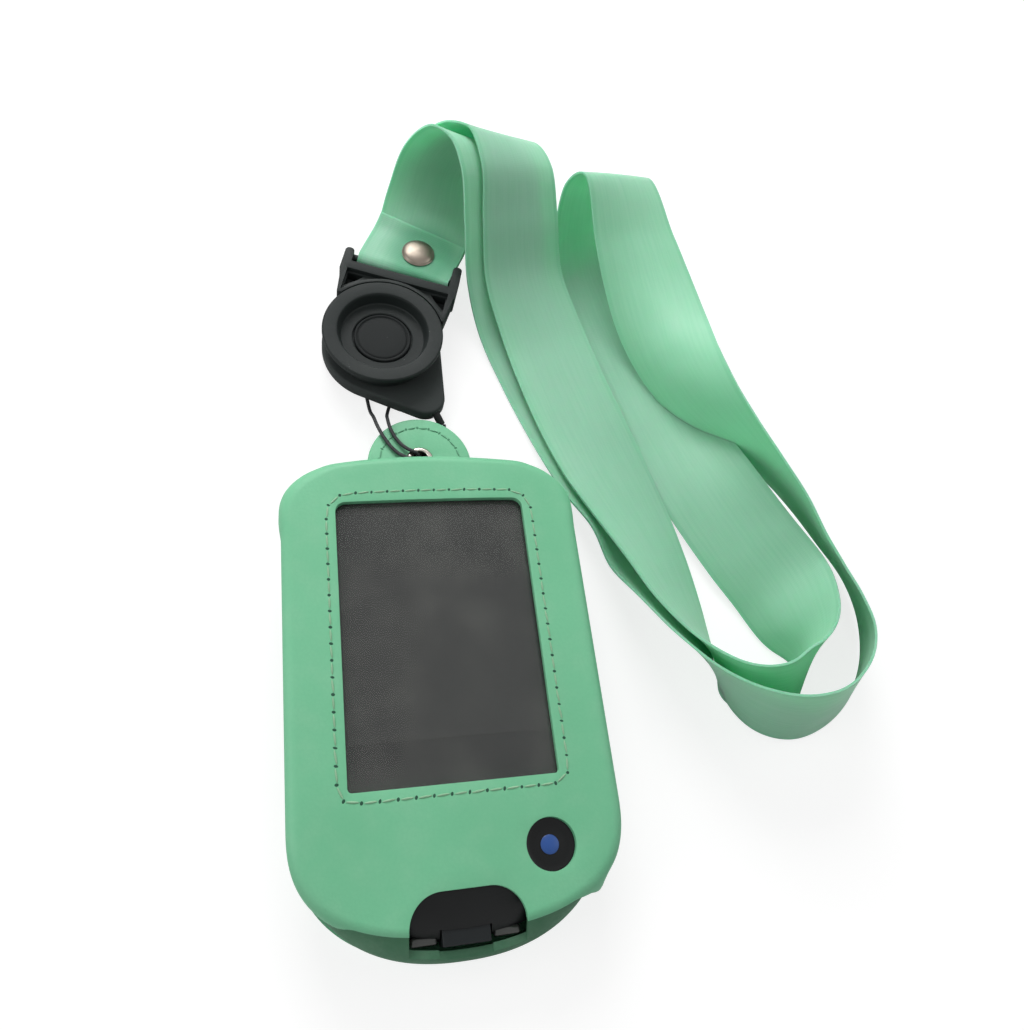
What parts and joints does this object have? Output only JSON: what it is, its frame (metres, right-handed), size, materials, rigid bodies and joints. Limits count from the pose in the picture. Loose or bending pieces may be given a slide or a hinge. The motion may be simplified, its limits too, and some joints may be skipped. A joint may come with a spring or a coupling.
{
  "type": "glucose meter case",
  "caption": "Mint green leather neck case that holds a black handheld glucose meter, with a window, a hanging tab, a black swivel buckle and a wide ribbon lanyard laid beside it.",
  "frame": {"origin": "centre of the case's back face, on the table", "axes": "+Z out of the screen, +Y along the case towards the hanging tab and lanyard, +X to the right of the screen"},
  "size_m": [0.1453, 0.2064, 0.0344],
  "materials": {
    "mint_leather": "smooth grained leather",
    "gusset_leather": "smooth grained leather, in shade",
    "back_leather": "smooth grained leather",
    "clear_film": "clear vinyl film",
    "bright_steel": "nickel plated",
    "black_housing": "satin",
    "rear_housing": "fine texture",
    "display_glass": "polished",
    "display_screen": "screen that is off",
    "circuit_board": "solder resist",
    "battery_foil": "pouch foil",
    "copper": "bare copper",
    "connector_plastic": "moulded",
    "button_black": "semi gloss",
    "button_blue": "semi gloss",
    "buckle_plastic": "matt moulded",
    "satin_ribbon": "fine woven, slight sheen",
    "black_cord": "braided"
  },
  "bodies": {
    "case": {"front_panel": "mint_leather", "side_gusset": "gusset_leather", "back_panel": "back_leather", "tab_facing": "mint_leather", "window_film": "clear_film", "eyelet": "bright_steel", "eyelet_washer": "bright_steel", "meter_front_housing": "black_housing", "meter_rear_housing": "rear_housing", "display_glass": "display_glass", "display_module": "display_screen", "main_board": "circuit_board", "battery": "battery_foil", "antenna_coil": "copper", "buzzer": "connector_plastic", "charging_socket": "bright_steel", "strip_port_bezel": "connector_plastic", "button_switch": "bright_steel", "housing_screw_1": "bright_steel", "housing_screw_2": "bright_steel", "housing_screw_3": "bright_steel", "housing_screw_4": "bright_steel"},
    "home_button": {"home_button": "button_black", "button_dot": "button_blue"},
    "tether": {"swivel_plate": "buckle_plastic", "cord_sleeve": "black_cord", "tether_string": "black_cord"},
    "swivel_stud": {"swivel_stud": "buckle_plastic"},
    "lanyard": {"yoke": "buckle_plastic", "buckle_ring": "buckle_plastic", "hub_cap": "buckle_plastic", "lanyard_ribbon": "satin_ribbon", "rivet_cap": "bright_steel", "rivet_washer": "bright_steel"}
  },
  "joints": [
    {"name": "home_button_press", "type": "slide", "parent": "case", "child": "home_button", "axis": [0, 0, -1], "range_m": [0, 0.0004], "stiffness_N_per_m": 2000},
    {"name": "tether_swing", "type": "hinge", "parent": "case", "child": "tether", "pos_m": [0.0006, 0.05995, 0.0035], "axis": [0, 0, 1], "range_deg": [0, 30]},
    {"name": "quick_release", "type": "slide", "parent": "tether", "child": "swivel_stud", "axis": [0, 0, 1], "range_m": [0, 0.009]},
    {"name": "buckle_swivel", "type": "hinge", "parent": "swivel_stud", "child": "lanyard", "pos_m": [-0.0068, 0.0943, 0.006], "axis": [0, 0, 1], "range_deg": [0, 120]}
  ]
}
